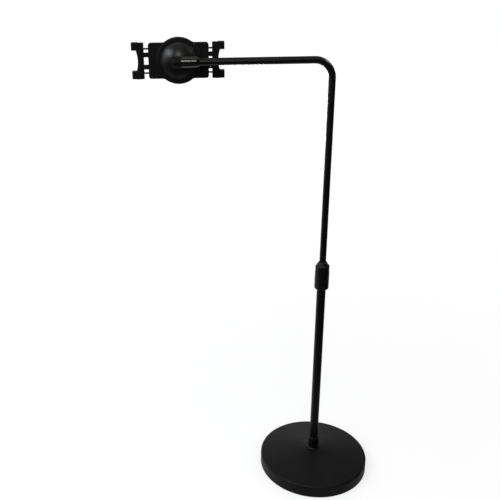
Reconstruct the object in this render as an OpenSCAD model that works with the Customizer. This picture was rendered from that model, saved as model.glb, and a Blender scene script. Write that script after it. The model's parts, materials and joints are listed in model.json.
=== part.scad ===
// Adjustable floor stand: a weighted round base, a telescopic pole with a twist clutch, a bent arm,
// a tilting and turning head, and a holder with two sliding claws that grip a flat device.
// Millimetres. The origin is the centre of the base's underside, +Z is up, the arm runs along -X
// and the gripping side of the holder faces +Y.

/* [Base] */
// Diameter of the round base
base_d = 284; // [250:1:330]
// Height at which the straight side wall ends and the rounded edge starts
base_wall_h = 28; // [22:1:32]
// Radius of the base's rounded upper edge
base_edge_r = 5; // [4.5:0.5:10]
// Height of the flat seat in the middle of the base's sloping top
base_seat_h = 51.5; // [46:0.5:62]
// Diameter of that seat
seat_d = 38; // [36:1:60]
// Thickness of the base shell
cover_wall = 3; // [2:0.25:4]
// Height of the shell's lower edge above the floor
floor_gap = 1.5; // [1:0.25:2]
// Thickness of the rubber foot pad
foot_pad_h = 2.5; // [2:0.25:4]
// Distance from the weight's edge to the foot pad's edge
foot_pad_inset = 4; // [2:0.5:12]
// Thickness of the iron weight's plate
weight_h = 10.5; // [8:0.5:13]
// Free space between the weight's edge and the shell's wall
weight_gap = 6; // [2:0.5:15]
// Diameter of the weight's boss where it leaves the plate
boss_foot_d = 64; // [50:1:90]
// Diameter of the bolt that holds the pole
base_bolt_d = 10; // [8:1:12]
// Length of the bolt's thread in the pole
base_bolt_grip = 24; // [16:1:32]
// Length of the threaded plug in the foot of the pole
tube_plug_len = 32; // [28:1:45]

/* [Ferrule] */
// Height of the tapered collar at the pole's foot
ferrule_h = 34; // [24:1:45]
// Diameter of the collar at its foot
ferrule_foot_d = 28.5; // [28:0.5:32]
// Diameter of the collar near its top
ferrule_top_d = 26; // [25.5:0.5:28]

/* [Pole and arm] */
// Outer diameter of the lower tube
lower_tube_d = 22; // [21.5:0.1:23]
// Wall of the lower tube
lower_tube_wall = 1.5; // [1:0.1:2]
// Outer diameter of the bent upper tube
upper_tube_d = 16; // [15:0.1:16.5]
// Wall of the upper tube
upper_tube_wall = 1.5; // [1:0.1:2]
// Height of the arm's axis above the floor
arm_h = 1072; // [980:1:1180]
// Distance from the pole's axis to the middle of the holder
arm_reach = 337; // [280:1:400]
// Radius of the bend, along the tube's axis
bend_r = 40; // [35:1:60]
// Length of upper tube inside the lower tube
tube_overlap = 122; // [90:1:160]
// Length of the guide bush on the upper tube's foot
bush_len = 22; // [16:1:30]
// Length of the guide bush's spigot inside the upper tube
bush_spigot_len = 25; // [16:1:35]

/* [Clutch] */
// Height of the clutch grip's lower edge above the floor
clutch_h = 525; // [480:1:560]
// Diameter of the clutch grip
grip_d = 35; // [34:0.5:42]
// Length of the clutch grip
grip_len = 47; // [44:1:60]
// Radius of the grip's rounded lower edge
grip_edge_r = 4; // [1:0.5:6]
// Number of shallow flutes round the grip
grip_flutes = 16; // [8:1:24]
// Depth of the flutes
grip_flute_depth = 0.5; // [0.3:0.1:1]
// Diameter of the ring above the grip
ring_d = 34; // [33:0.5:38]
// Length of the ring's straight band
ring_len = 17; // [12:0.5:20]
// Length of the ring's tapered nose
nose_len = 8; // [6:0.5:16]
// Diameter of the nose's rounded tip
nose_d = 22; // [20:0.5:26]
// Outer diameter of the threaded clutch body
clutch_body_d = 28; // [27:0.5:30]
// Length of lower tube that is seated in the clutch body
clutch_seat_len = 24; // [18:1:30]

/* [Head] */
// Diameter of the tilt sleeve
sleeve_d = 25; // [24:0.5:30]
// Length of the sleeve from the holder's middle towards its free end
sleeve_free_len = 8; // [8:0.5:12]
// Length of the sleeve from the holder's middle towards the pole
sleeve_pole_len = 26; // [24:0.5:50]
// Length of the rounded cap on the sleeve's free end
cap_len = 8.5; // [8.5:0.5:12]
// Length of the cap's skirt over the sleeve
cap_skirt_len = 12; // [10:0.5:14]
// Length of the tapered collar on the arm
collar_len = 19; // [10:0.5:30]
// Diameter of the neck that carries the dome
neck_d = 15; // [13:0.5:15]
// Diameter of the dome's stepped rim
dome_d = 79; // [78:1:90]
// Diameter of the domed cap inside the rim
dome_cap_d = 73; // [66:1:74]
// Height of the dome's rim
dome_rim_h = 4; // [3:0.5:6]
// Height of the domed cap above its rim
dome_h = 13.5; // [8:0.5:13.5]
// Wall of the dome
dome_wall = 2.5; // [2:0.25:3]
// Distance from the arm's axis to the plane where the holder turns
hub_y = 30; // [29.5:0.5:40]
// Diameter of the swivel bolt
swivel_bolt_d = 8; // [6:1:9]

/* [Holder] */
// Width of the holder's housing
housing_w = 134; // [126:1:160]
// Height of the holder's housing
housing_h = 77; // [72:1:85]
// Depth of the rectangular housing
housing_t = 13; // [12.5:0.5:18]
// Corner radius of the housing
housing_corner_r = 6; // [4:0.5:10]
// Radius of the housing's rounded rear edges
housing_edge_r = 2.5; // [1:0.25:3]
// Diameter of the round bulge behind the dome
disc_d = 100; // [94:1:110]
// Depth of the bulge behind the rectangular housing
disc_step = 5.6; // [4.5:0.2:8]
// Radius of the rounded corner between bulge and housing
blend_r = 10; // [4:1:16]
// Wall of the housing's sides
housing_wall = 3; // [2:0.25:3.5]
// Thickness of the housing's back
housing_back_wall = 3.5; // [2.5:0.25:4]
// Thickness of the front plate
front_plate_t = 3; // [2.5:0.25:5]
// Thickness of the rubber pad on the front
front_pad_t = 1.5; // [1:0.25:3]

/* [Claws] */
// Gap between the housing and the left claw
gap_left = 10; // [2:0.5:30]
// Gap between the housing and the right claw
gap_right = 8; // [2:0.5:30]
// Height of a claw
claw_h = 78; // [76:1:95]
// Width of a claw from its inner edge to the outside of its fingers
claw_w = 27.5; // [26:0.5:36]
// Width of the claw's bar beside its fingers
bar_w = 17.5; // [15:0.5:18]
// How far the bar's outer edge is hollowed at its middle
waist_sag = 4.2; // [2:0.2:6]
// Height of a finger
finger_h = 16.5; // [12:0.5:20]
// Thickness of a finger's outer wall
finger_wall = 6.5; // [5:0.25:7]
// Thickness of the fingers' front lips
lip_t = 3.4; // [2.5:0.1:5]
// Reach of the lips over the slot, from the finger's wall
lip_reach = 7; // [4:0.5:10]
// Depth of the slot between the front pad and the lips
slot_t = 14; // [8:0.5:20]
// Thickness of the fingers' rubber lining
lining_t = 1.2; // [0.8:0.1:2]
// Height of a rail
rail_h = 10; // [8:0.5:12]
// Thickness of a rail
rail_t = 6; // [5:0.25:6.5]
// Length of a rail inside its claw's inner edge
rail_len = 55; // [48:1:56]
// Height of the rails above and below the holder's middle
rail_z = 13; // [12.5:0.25:14]
// Diameter of a guide rod
rod_d = 3.8; // [3:0.1:4]
// Length of a rod inside its claw's inner edge
rod_len = 60; // [50:1:62]
// Height of the rods above and below the holder's middle
rod_z = 26; // [25.5:0.25:26.5]

/* [Fits] */
// Radial clearance of a running fit
run_gap = 0.05; // [0.02:0.01:0.1]
// Clearance round pieces that are pressed or screwed together
seat_gap = 0.02; // [0.01:0.01:0.05]
// Clearance between pieces that pass each other
pass_gap = 0.3; // [0.2:0.05:0.4]
// Clearance round a slide
slide_gap = 0.2; // [0.1:0.05:0.3]

/* [Hidden] */

$fn = 96;
// Extra length of a cut past the face that it opens
cut = 1;

// Base: the sloping top runs from the seat's rim to the rounded edge, as the edge arc's tangent
base_r = base_d / 2;
seat_r = seat_d / 2;
edge_centre = [base_r - base_edge_r, base_wall_h];
slope_run = edge_centre - [seat_r, base_seat_h];
slope_angle = atan2(slope_run[1], slope_run[0]) + asin(base_edge_r / norm(slope_run));
slope_normal = [-sin(slope_angle), cos(slope_angle)];
boss_margin = 1.5;
boss_top_r = seat_r - boss_margin;
boss_top_z = base_seat_h - cover_wall;
weight_r = base_r - cover_wall - weight_gap;
weight_chamfer = 2;
weight_top_z = foot_pad_h + weight_h;

// Base bolt, a hexagon head in the weight's recess
bolt_head_h = 0.64 * base_bolt_d;
bolt_head_d = 1.9 * base_bolt_d;
bolt_washer_d = 2.2 * base_bolt_d;
bolt_washer_h = 2;
bolt_play = 0.3;
recess_margin = 2;
recess_d = bolt_washer_d + 2 * recess_margin;
recess_top_z = foot_pad_h + bolt_head_h + bolt_washer_h + cut;
hex = 6;

// Pole
lower_tube_r = lower_tube_d / 2;
lower_bore_r = lower_tube_r - lower_tube_wall;
upper_tube_r = upper_tube_d / 2;
upper_bore_r = upper_tube_r - upper_tube_wall;
lip_h = 6;
clutch_body_z = clutch_h + lip_h;
lower_tube_top = clutch_body_z + clutch_seat_len;
upper_tube_foot = lower_tube_top - tube_overlap;
ferrule_flange_h = 3;
ferrule_flange = 2.2;
ferrule_bevel = 3;

// Clutch
grip_top = clutch_h + grip_len;
clutch_body_r = clutch_body_d / 2;
clutch_body_lap = 3;
clutch_body_top = grip_top + clutch_body_lap;
clutch_shoulder_len = 8;
collet_foot = lower_tube_top + clutch_shoulder_len;
collet_wall = 3;
collet_r = upper_tube_r + collet_wall;
collet_top = grip_top + ring_len;
collet_taper_z = clutch_body_top + cut;
collet_tip_wall = 1.2;
collet_tip_r = upper_tube_r + collet_tip_wall;
collet_slit = 2;
flute_r = 5;
flute_margin = 9;
nose_top = grip_top + ring_len + nose_len;
nose_tip_r = 2;
ring_edge_r = 4;
ring_groove = 1;
ring_groove_h = 1.8;

// Head, with the arm's free end at the middle of the neck
sleeve_r = sleeve_d / 2;
liner_t = 1.5;
liner_r = upper_tube_r + run_gap + liner_t;
arm_end = 0;
washer_t = 1.2;
end_washer_lap = 1.2;
end_washer_r = upper_tube_r + end_washer_lap;
cap_skirt_t = 1.5;
spigot_r = sleeve_r - cap_skirt_t;
shoulder_x = cap_skirt_len - sleeve_free_len + slide_gap;
shoulder_r = 1.2;
end_screw_d = 5;
end_screw_head_d = 9;
end_screw_head_h = 2.6;
arm_plug_len = 18;
end_screw_len = 14;
cap_edge_r = 8;
collar_start = sleeve_pole_len + pass_gap;
collar_step = 0.6;
collar_r = sleeve_r - collar_step;
collar_band = 0.6 * collar_len;
collar_tip_wall = 1;
collar_tip_r = upper_tube_r + collar_tip_wall;
collar_screw_d = 4;
hub_flange_t = 4;
dome_rim_r = dome_d / 2;
dome_cap_r = dome_cap_d / 2;
dome_step_r = 1.6;
hub_flange_r = dome_cap_r - dome_wall;
dome_sphere_r = (pow(dome_cap_r, 2) + pow(dome_h, 2)) / (2 * dome_h);
dome_centre_h = dome_rim_h + dome_h - dome_sphere_r;
swivel_bolt_r = swivel_bolt_d / 2;
swivel_thread_floor = 1.5;
swivel_thread_y = sleeve_r + swivel_thread_floor;

// Holder, with depths along +Y from the arm's axis
friction_washer_t = 1.2;
disc_y = hub_y + friction_washer_t + slide_gap;
housing_y = disc_y + disc_step;
floor_y = housing_y + housing_back_wall;
housing_front_y = housing_y + housing_t;
front_face_y = housing_front_y + front_plate_t;
device_y = front_face_y + front_pad_t;
disc_r = disc_d / 2;
disc_edge_r = 3;
disc_back_wall = 3;
disc_pocket_in_r = 18;
disc_pocket_out_r = 42;
swivel_bush_r = 8;
swivel_washer_r = 12;
swivel_head_r = 6.5;
swivel_head_h = 3.5;
hub_bore_r = swivel_bush_r + run_gap;
swivel_bush_end = floor_y + pass_gap;
socket_d = 6;

// Slides, at the height where the rails lie on the housing's floor
rail_y = floor_y + slide_gap;
rod_y = rail_y + rail_t / 2;
rod_r = rod_d / 2;
cross_rib_inset = 21;
cross_rib_x = housing_w / 2 - cross_rib_inset;
cross_rib_t = 3;
clip_t = 1.5;
clip_wall = 1;
clip_r = rod_r + clip_wall;
clip_inset = 1;
rod_grip = 8;
screw_post_r = 3.6;
screw_end_inset = 7;
screw_side_inset = 4.2;
screw_x = housing_w / 2 - screw_end_inset;
screw_z = housing_h / 2 - screw_side_inset;
screw_r = 1.5;
screw_head_r = 2.9;
screw_head_h = 1.9;
screw_recess_r = 3.3;
screw_recess_h = 2.2;
screw_bite = 2;
shoe_l = 9;
shoe_h = 8;
shoe_gap = 3;
shoe_x = cross_rib_x + cross_rib_t + shoe_gap;
front_pad_margin = 11;
front_pad_corner_r = 8;

// Claws, with x measured outwards from the claw's inner edge
bar_setback = 1;
bar_y = housing_y + bar_setback;
bar_step_w = 6.5;
bar_step = 3;
finger_root_x = (bar_step_w + bar_w) / 2;
finger_setback = 5;
finger_y = housing_y + finger_setback;
finger_edge_r = 4;
// The waist's arc runs a little way into the fingers
waist_lap = 1.5;
waist_half = claw_h / 2 - finger_h + waist_lap;
waist_r = (pow(waist_half, 2) + pow(waist_sag, 2)) / (2 * waist_sag);
slot_x = claw_w - finger_wall;
lip_y = device_y + slot_t;
lip_tip_x = slot_x - lip_reach;
lining_margin = 1;

// Colours
black_plastic = [0.10, 0.10, 0.11];
black_paint = [0.07, 0.07, 0.08];
soft_black = [0.15, 0.15, 0.16];
steel = [0.62, 0.63, 0.65];
iron = [0.28, 0.28, 0.29];
nylon = [0.86, 0.85, 0.80];

// Points the local z axis along +X
module along_x() {
    rotate([0, 90, 0]) children();
}

// Points the local z axis along +Y
module along_y() {
    rotate([-90, 0, 0]) children();
}

// Extrudes an outline drawn in x and z from one depth to another
module slab(from_y, to_y) {
    translate([0, to_y, 0]) rotate([90, 0, 0]) linear_extrude(to_y - from_y) children();
}

// Moves to the middle of the holder, on the arm's axis
module at_head() {
    translate([-arm_reach, 0, arm_h]) children();
}

// A straight ring along the local z axis
module ring(outer_r, inner_r, len) {
    difference() {
        cylinder(r = outer_r, h = len);
        translate([0, 0, -cut]) cylinder(r = inner_r, h = len + 2 * cut);
    }
}

// A rectangle about the middle with round corners
module round_rect(w, h, r) {
    square([w - 2 * r, h], center = true);
    square([w, h - 2 * r], center = true);
    for (sx = [-1, 1], sy = [-1, 1]) {
        translate([sx * (w / 2 - r), sy * (h / 2 - r)]) circle(r = r);
    }
}

// Half section of the base: side wall, rounded edge, sloping top and seat, moved inwards by inset
module base_section(inset, foot_z) {
    seat_rim = [seat_r, base_seat_h] - inset * slope_normal;
    translate([0, foot_z]) square([base_r - inset, base_wall_h - foot_z]);
    translate(edge_centre) circle(r = base_edge_r - inset);
    polygon([
        [0, base_wall_h],
        edge_centre,
        edge_centre + (base_edge_r - inset) * slope_normal,
        seat_rim,
        [0, seat_rim[1]]
    ]);
}

module foot_pad() {
    color(soft_black) cylinder(r = weight_r - foot_pad_inset, h = foot_pad_h);
}

module base_weight() {
    color(iron) rotate_extrude() difference() {
        polygon([
            [0, foot_pad_h],
            [weight_r - weight_chamfer, foot_pad_h],
            [weight_r, foot_pad_h + weight_chamfer],
            [weight_r, weight_top_z - weight_chamfer],
            [weight_r - weight_chamfer, weight_top_z],
            [boss_foot_d / 2, weight_top_z],
            [boss_top_r, boss_top_z],
            [0, boss_top_z]
        ]);
        square([base_bolt_d / 2 + bolt_play, base_seat_h]);
        square([recess_d / 2, recess_top_z]);
    }
}

module base_cover() {
    color(black_plastic) rotate_extrude() difference() {
        base_section(0, floor_gap);
        base_section(cover_wall, 0);
        square([base_bolt_d / 2 + bolt_play, base_seat_h + cut]);
    }
}

// The tapered collar stands on the base's seat, with a thin flange at its foot
module pole_ferrule() {
    bore_r = lower_tube_r + run_gap;
    foot_r = ferrule_foot_d / 2;
    color(black_plastic) translate([0, 0, base_seat_h]) rotate_extrude() polygon([
        [bore_r, 0],
        [foot_r + ferrule_flange, 0],
        [foot_r + ferrule_flange, ferrule_flange_h / 2],
        [foot_r, ferrule_flange_h],
        [ferrule_top_d / 2, ferrule_h - ferrule_bevel],
        [bore_r + run_gap + (ferrule_top_d / 2 - bore_r) / 2, ferrule_h],
        [bore_r, ferrule_h]
    ]);
}

module tube_plug() {
    color(steel) translate([0, 0, base_seat_h])
        ring(lower_bore_r - seat_gap, base_bolt_d / 2 + seat_gap, tube_plug_len);
}

module base_bolt() {
    head_z = recess_top_z - bolt_washer_h - bolt_head_h;
    color(steel) {
        translate([0, 0, head_z]) cylinder(d = bolt_head_d, h = bolt_head_h, $fn = hex);
        translate([0, 0, head_z])
            cylinder(d = base_bolt_d, h = base_seat_h + base_bolt_grip - head_z);
    }
}

module base_washer() {
    color(steel) translate([0, 0, recess_top_z - bolt_washer_h])
        ring(bolt_washer_d / 2, base_bolt_d / 2 + seat_gap, bolt_washer_h);
}

module lower_tube() {
    color(black_paint) translate([0, 0, base_seat_h])
        ring(lower_tube_r, lower_bore_r, lower_tube_top - base_seat_h);
}

// Sits on the lower tube's end and holds the collet, hidden by the grip
module clutch_body() {
    color(black_plastic) rotate_extrude() polygon([
        [lower_tube_r + seat_gap, clutch_body_z],
        [clutch_body_r, clutch_body_z],
        [clutch_body_r, clutch_body_top],
        [collet_r + seat_gap, clutch_body_top],
        [collet_r + seat_gap, collet_foot],
        [upper_tube_r + pass_gap, collet_foot],
        [upper_tube_r + pass_gap, lower_tube_top],
        [lower_tube_r + seat_gap, lower_tube_top]
    ]);
}

// A split ring that the nose squeezes on to the upper tube
module clutch_collet() {
    bore_r = upper_tube_r + run_gap;
    color(nylon) difference() {
        rotate_extrude() polygon([
            [bore_r, collet_foot],
            [collet_r, collet_foot],
            [collet_r, collet_taper_z],
            [collet_tip_r, collet_top],
            [bore_r, collet_top]
        ]);
        translate([0, -collet_slit / 2, collet_foot - cut])
            cube([2 * collet_r, collet_slit, collet_top - collet_foot + 2 * cut]);
    }
}

// The twist grip: a sleeve with a rounded lower edge, a lip under the clutch body and shallow flutes
module clutch_grip() {
    grip_r = grip_d / 2;
    flute_len = grip_len - 2 * flute_margin;
    color(black_plastic) difference() {
        translate([0, 0, clutch_h]) rotate_extrude() difference() {
            union() {
                square([grip_r - grip_edge_r, grip_len]);
                translate([0, grip_edge_r]) square([grip_r, grip_len - grip_edge_r]);
                translate([grip_r - grip_edge_r, grip_edge_r]) circle(r = grip_edge_r);
            }
            translate([0, -cut]) square([lower_tube_r + pass_gap, grip_len + 2 * cut]);
            translate([0, lip_h - pass_gap]) square([clutch_body_r + pass_gap, grip_len]);
        }
        for (i = [0 : grip_flutes - 1]) {
            rotate([0, 0, i * 360 / grip_flutes])
                translate([grip_r + flute_r - grip_flute_depth, 0, clutch_h + flute_margin])
                cylinder(r = flute_r, h = flute_len);
        }
    }
}

// The band with a groove at its foot and the tapered nose above the grip, with the cone that closes the collet
module clutch_nose_ring() {
    ring_r = ring_d / 2;
    shoulder_z = grip_top + ring_len - ring_edge_r;
    color(black_plastic) rotate_extrude() difference() {
        union() {
            translate([0, grip_top]) square([ring_r, ring_len - ring_edge_r]);
            translate([0, grip_top]) square([ring_r - ring_edge_r, ring_len]);
            translate([ring_r - ring_edge_r, shoulder_z]) circle(r = ring_edge_r);
            polygon([
                [0, grip_top + ring_len],
                [ring_r - ring_edge_r, grip_top + ring_len],
                [nose_d / 2, nose_top - nose_tip_r],
                [nose_d / 2 - nose_tip_r, nose_top],
                [0, nose_top]
            ]);
        }
        square([upper_tube_r + pass_gap, nose_top + cut]);
        translate([ring_r - ring_groove, grip_top - cut]) square([ring_groove + cut, ring_groove_h + cut]);
        translate([0, grip_top - cut])
            square([clutch_body_r + pass_gap, clutch_body_top + pass_gap - grip_top + cut]);
        polygon([
            [0, clutch_body_top],
            [collet_r + pass_gap, clutch_body_top],
            [collet_r + pass_gap, collet_taper_z],
            [collet_tip_r + pass_gap, collet_top],
            [collet_tip_r + pass_gap, collet_top + pass_gap],
            [0, collet_top + pass_gap]
        ]);
    }
}

// Runs in the lower tube and carries the foot of the upper tube on its spigot
module guide_bush() {
    color(nylon) translate([0, 0, upper_tube_foot]) difference() {
        union() {
            translate([0, 0, -bush_len]) cylinder(r = lower_bore_r - run_gap, h = bush_len - slide_gap);
            translate([0, 0, -bush_len]) cylinder(r = upper_bore_r - run_gap, h = bush_len + bush_spigot_len);
        }
        translate([0, 0, -bush_len - cut])
            cylinder(r = upper_bore_r / 2, h = bush_len + bush_spigot_len + 2 * cut);
    }
}

module upper_tube_section() {
    difference() {
        circle(r = upper_tube_r);
        circle(r = upper_bore_r);
    }
}

// One tube: the upright, the bend and the arm
module upper_tube() {
    bend_z = arm_h - bend_r;
    color(black_paint) {
        translate([0, 0, upper_tube_foot])
            linear_extrude(bend_z - upper_tube_foot) upper_tube_section();
        translate([-bend_r, 0, bend_z]) rotate([90, 0, 0])
            rotate_extrude(angle = 90) translate([bend_r, 0]) upper_tube_section();
        at_head() translate([-arm_end, 0, 0]) along_x()
            linear_extrude(arm_reach + arm_end - bend_r) upper_tube_section();
    }
}

module arm_plug() {
    color(steel) at_head() translate([-arm_end, 0, 0]) along_x()
        ring(upper_bore_r - seat_gap, end_screw_d / 2 + seat_gap, arm_plug_len);
}

module end_washer() {
    color(steel) at_head() translate([-arm_end - washer_t, 0, 0]) along_x()
        ring(end_washer_r, end_screw_d / 2 + seat_gap, washer_t);
}

module end_screw() {
    head_x = -arm_end - washer_t - end_screw_head_h;
    color(steel) at_head() translate([head_x, 0, 0]) along_x() {
        cylinder(d = end_screw_head_d, h = end_screw_head_h);
        cylinder(d = end_screw_d, h = end_screw_head_h + washer_t + end_screw_len);
    }
}

// The tapered ring that stops the sleeve from sliding along the arm
module arm_collar() {
    color(black_paint) at_head() difference() {
        translate([collar_start, 0, 0]) along_x() rotate_extrude() polygon([
            [upper_tube_r + seat_gap, 0],
            [collar_r, 0],
            [collar_r, collar_band],
            [collar_tip_r, collar_len],
            [upper_tube_r + seat_gap, collar_len]
        ]);
        translate([collar_start + collar_band / 2, 0, -sleeve_r])
            cylinder(d = collar_screw_d + 2 * seat_gap, h = sleeve_r);
    }
}

module collar_screw() {
    color(steel) at_head()
        translate([collar_start + collar_band / 2, 0, slide_gap - collar_r])
        cylinder(d = collar_screw_d, h = collar_r - slide_gap - upper_tube_r - seat_gap);
}

// Half section of the sleeve: a spigot for the cap and a barrel with a rounded shoulder, h along the arm
module sleeve_section() {
    translate([0, -sleeve_free_len]) square([spigot_r, sleeve_free_len + sleeve_pole_len]);
    translate([0, shoulder_x + shoulder_r]) square([sleeve_r, sleeve_pole_len - shoulder_x - shoulder_r]);
    translate([0, shoulder_x]) square([sleeve_r - shoulder_r, sleeve_pole_len - shoulder_x]);
    translate([sleeve_r - shoulder_r, shoulder_x + shoulder_r]) circle(r = shoulder_r);
}

// One casting: the sleeve on the arm, the neck and the flange that the holder turns on
module tilt_sleeve() {
    color(black_paint) at_head() difference() {
        union() {
            along_x() rotate_extrude() sleeve_section();
            along_y() cylinder(d = neck_d, h = hub_y);
            translate([0, hub_y - hub_flange_t, 0]) along_y()
                cylinder(r = hub_flange_r, h = hub_flange_t);
        }
        translate([-sleeve_free_len - cut, 0, 0]) along_x()
            cylinder(r = liner_r + seat_gap, h = sleeve_free_len + sleeve_pole_len + 2 * cut);
        translate([0, swivel_thread_y, 0]) along_y()
            cylinder(r = swivel_bolt_r + seat_gap, h = hub_y);
    }
}

// A cup over the sleeve's free end, slotted so that it passes the neck
module sleeve_cap() {
    skirt_bore_r = spigot_r + slide_gap;
    slot_w = neck_d + 2 * slide_gap;
    color(black_plastic) at_head() difference() {
        translate([-sleeve_free_len, 0, 0]) rotate([0, -90, 0]) rotate_extrude() {
            square([sleeve_r - cap_edge_r, cap_len]);
            square([sleeve_r, cap_len - cap_edge_r]);
            intersection() {
                translate([sleeve_r - cap_edge_r, cap_len - cap_edge_r]) circle(r = cap_edge_r);
                square([sleeve_r, cap_len]);
            }
            translate([skirt_bore_r, -cap_skirt_len])
                square([sleeve_r - skirt_bore_r, cap_skirt_len + (cap_len - cap_edge_r) / 2]);
        }
        along_y() cylinder(d = slot_w, h = sleeve_d);
        translate([0, 0, -slot_w / 2]) cube([sleeve_d, sleeve_d, slot_w]);
    }
}

module sleeve_liner() {
    liner_x = pass_gap - arm_end;
    color(nylon) at_head() translate([liner_x, 0, 0]) along_x()
        ring(liner_r, upper_tube_r + run_gap, sleeve_pole_len - liner_x);
}

// Half section of the dome, with h measured from the turning plane towards the arm
module dome_section() {
    difference() {
        union() {
            square([dome_rim_r - dome_step_r, dome_rim_h]);
            square([dome_rim_r, dome_rim_h - dome_step_r]);
            intersection() {
                translate([dome_rim_r - dome_step_r, dome_rim_h - dome_step_r]) circle(r = dome_step_r);
                square([dome_rim_r, dome_rim_h]);
            }
            intersection() {
                translate([0, dome_centre_h]) circle(r = dome_sphere_r);
                square([dome_cap_r, dome_rim_h + dome_h]);
            }
        }
        translate([0, -cut]) square([hub_flange_r + run_gap, hub_flange_t + 2 * cut]);
        intersection() {
            translate([0, dome_centre_h]) circle(r = dome_sphere_r - dome_wall);
            square([hub_flange_r + run_gap, dome_rim_h + dome_h]);
        }
        square([neck_d / 2 + run_gap, dome_rim_h + dome_h + cut]);
    }
}

module swivel_dome() {
    color(black_plastic) at_head() translate([0, hub_y, 0]) rotate([90, 0, 0])
        rotate_extrude() dome_section();
}

module friction_washer() {
    color(nylon) at_head() translate([0, hub_y, 0]) along_y()
        ring(hub_flange_r, hub_bore_r + pass_gap, friction_washer_t);
}

module swivel_bush() {
    color(steel) at_head() translate([0, hub_y, 0]) along_y()
        ring(swivel_bush_r, swivel_bolt_r + seat_gap, swivel_bush_end - hub_y);
}

module swivel_washer() {
    color(steel) at_head() translate([0, swivel_bush_end, 0]) along_y()
        ring(swivel_washer_r, swivel_bolt_r + seat_gap, washer_t);
}

// A cap screw from the front of the housing's back into the neck
module swivel_bolt() {
    head_y = swivel_bush_end + washer_t;
    color(steel) at_head() difference() {
        union() {
            translate([0, head_y, 0]) along_y() cylinder(r = swivel_head_r, h = swivel_head_h);
            translate([0, swivel_thread_y + cut, 0]) along_y()
                cylinder(r = swivel_bolt_r, h = head_y - swivel_thread_y);
        }
        translate([0, head_y + swivel_head_h / 2, 0]) along_y()
            cylinder(d = socket_d, h = swivel_head_h, $fn = hex);
    }
}

// Fills the four corners between the bulge and the housing's long edges with an arc
module blend_corners() {
    half_h = housing_h / 2;
    blend_x = sqrt(pow(disc_r + blend_r, 2) - pow(half_h + blend_r, 2));
    for (mx = [0, 1], mz = [0, 1]) {
        mirror([mx, 0]) mirror([0, mz]) difference() {
            polygon([[0, 0], [blend_x, half_h], [blend_x, half_h + blend_r]]);
            translate([blend_x, half_h + blend_r]) circle(r = blend_r);
        }
    }
}

// Outline of the holder: a rectangle and a round bulge
module holder_outline() {
    round_rect(housing_w, housing_h, housing_corner_r);
    circle(r = disc_r);
    blend_corners();
}

// A quarter round along the local z axis, for the rear edges of the housing
module edge_bar(len) {
    cylinder(r = housing_edge_r, h = len, center = true);
}

// The rectangular housing with rounded rear edges
module housing_block() {
    in_w = housing_w - 2 * housing_edge_r;
    in_h = housing_h - 2 * housing_edge_r;
    in_r = housing_corner_r - housing_edge_r;
    edge_y = housing_y + housing_edge_r;
    slab(housing_y, housing_front_y) round_rect(in_w, in_h, in_r);
    slab(edge_y, housing_front_y) round_rect(housing_w, housing_h, housing_corner_r);
    for (s = [-1, 1]) {
        translate([0, edge_y, s * in_h / 2]) along_x() edge_bar(in_w - 2 * in_r);
        translate([s * in_w / 2, edge_y, 0]) edge_bar(in_h - 2 * in_r);
    }
    for (sx = [-1, 1], sz = [-1, 1]) {
        translate([sx * (in_w / 2 - in_r), edge_y, sz * (in_h / 2 - in_r)]) along_y()
            rotate_extrude() intersection() {
                translate([in_r, 0]) circle(r = housing_edge_r);
                translate([0, -housing_edge_r]) square([housing_corner_r, 2 * housing_edge_r]);
            }
    }
}

// The round bulge, a pan with a rounded rear edge
module housing_disc() {
    depth = housing_front_y - disc_y;
    translate([0, disc_y, 0]) along_y() rotate_extrude() {
        square([disc_r - disc_edge_r, depth]);
        translate([0, disc_edge_r]) square([disc_r, depth - disc_edge_r]);
        intersection() {
            translate([disc_r - disc_edge_r, disc_edge_r]) circle(r = disc_edge_r);
            square([disc_r, depth]);
        }
    }
}

// Openings for a rail or rod through the housing's end walls and cross ribs, on one side
module slide_openings() {
    outer_x = housing_w / 2 + cut;
    for (s = [-1, 1]) {
        translate([cross_rib_x - cut, floor_y, s * rail_z - rail_h / 2 - slide_gap])
            cube([outer_x - cross_rib_x + cut, rail_t + 2 * slide_gap, rail_h + 2 * slide_gap]);
        translate([cross_rib_x - cut, rod_y, s * rod_z]) along_x()
            cylinder(r = rod_r + run_gap, h = outer_x - cross_rib_x + cut);
    }
}

// The holder's rear shell: block and bulge with a common pocket, cross ribs and screw posts
module back_housing() {
    pocket_w = housing_w - 2 * housing_wall;
    pocket_h = housing_h - 2 * housing_wall;
    color(black_plastic) at_head() difference() {
        union() {
            difference() {
                union() {
                    housing_block();
                    housing_disc();
                    slab(housing_y, housing_front_y) blend_corners();
                }
                slab(floor_y, housing_front_y + cut) {
                    square([pocket_w, pocket_h], center = true);
                    circle(r = disc_r - housing_wall);
                }
                translate([0, disc_y + disc_back_wall, 0]) along_y()
                    ring(disc_pocket_out_r, disc_pocket_in_r, floor_y - disc_y);
            }
            for (s = [-1, 1]) {
                translate([s * (cross_rib_x + cross_rib_t / 2), 0, 0])
                    slab(floor_y - cut, housing_front_y - pass_gap)
                    square([cross_rib_t, pocket_h + cut], center = true);
            }
            for (sx = [-1, 1], sz = [-1, 1]) {
                translate([sx * screw_x, floor_y - cut, sz * screw_z]) along_y()
                    cylinder(r = screw_post_r, h = housing_front_y - floor_y + cut);
            }
        }
        translate([0, disc_y - cut, 0]) along_y() cylinder(r = hub_bore_r, h = housing_front_y);
        for (m = [0, 1]) {
            mirror([m, 0, 0]) slide_openings();
        }
        for (sx = [-1, 1], sz = [-1, 1]) {
            translate([sx * screw_x, housing_y - cut, sz * screw_z]) along_y() {
                cylinder(r = screw_recess_r, h = screw_recess_h + cut);
                cylinder(r = screw_r + slide_gap, h = housing_t + 2 * cut);
            }
        }
    }
}

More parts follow.
